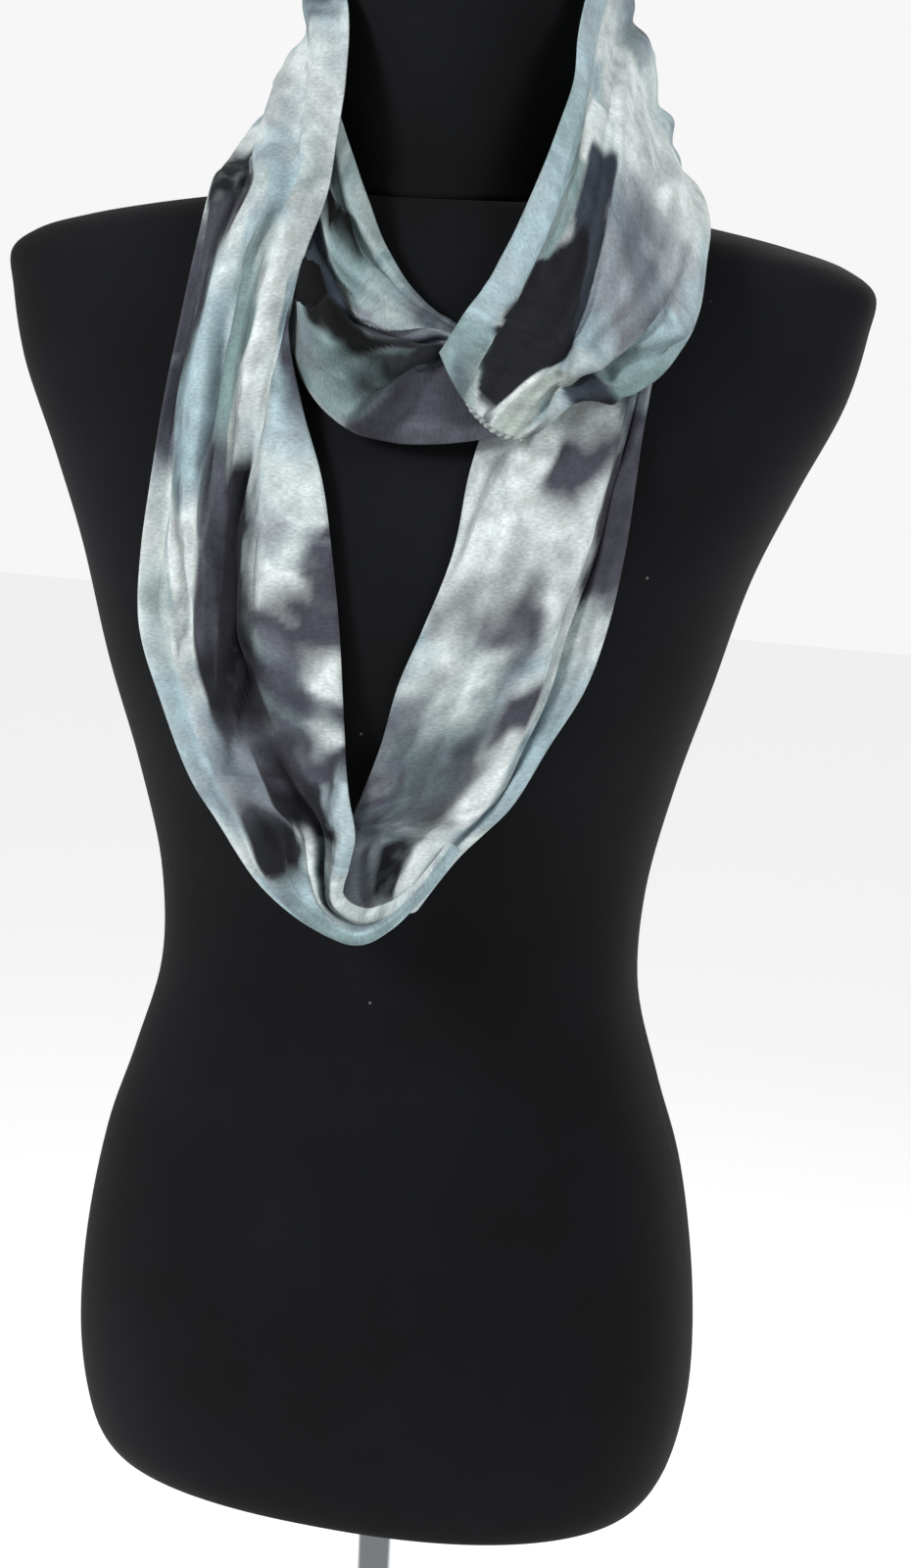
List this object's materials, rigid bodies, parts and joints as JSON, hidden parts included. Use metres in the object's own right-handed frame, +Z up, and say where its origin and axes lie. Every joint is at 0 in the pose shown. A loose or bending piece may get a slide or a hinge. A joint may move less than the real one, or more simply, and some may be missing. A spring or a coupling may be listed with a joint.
{
  "type": "infinity scarf on a dress form",
  "caption": "Loop scarf of tie-dyed crepe wound round the neck of a limbless dress form, with a short turn high on the chest and a long one to the waist, on a pole stand with a round base.",
  "frame": {"origin": "on the floor, on the axis of the pole", "axes": "+Z up, the chest faces -Y and +X points to the form's left arm side"},
  "size_m": [0.406, 0.35, 1.59],
  "materials": {
    "form_jersey": "matt knitted jersey",
    "stand_chrome": "polished",
    "scarf_crepe": "soft crepe with a fine cross rib"
  },
  "bodies": {
    "root": {"form_torso": "form_jersey", "form_neck": "form_jersey", "stand_pole": "stand_chrome", "stand_base": "stand_chrome", "scarf_short_front": "scarf_crepe", "scarf_neck_inner": "scarf_crepe", "scarf_long_right": "scarf_crepe", "scarf_long_bottom": "scarf_crepe", "scarf_long_left": "scarf_crepe", "scarf_neck_outer": "scarf_crepe", "scarf_short_right": "scarf_crepe"}
  },
  "joints": []
}
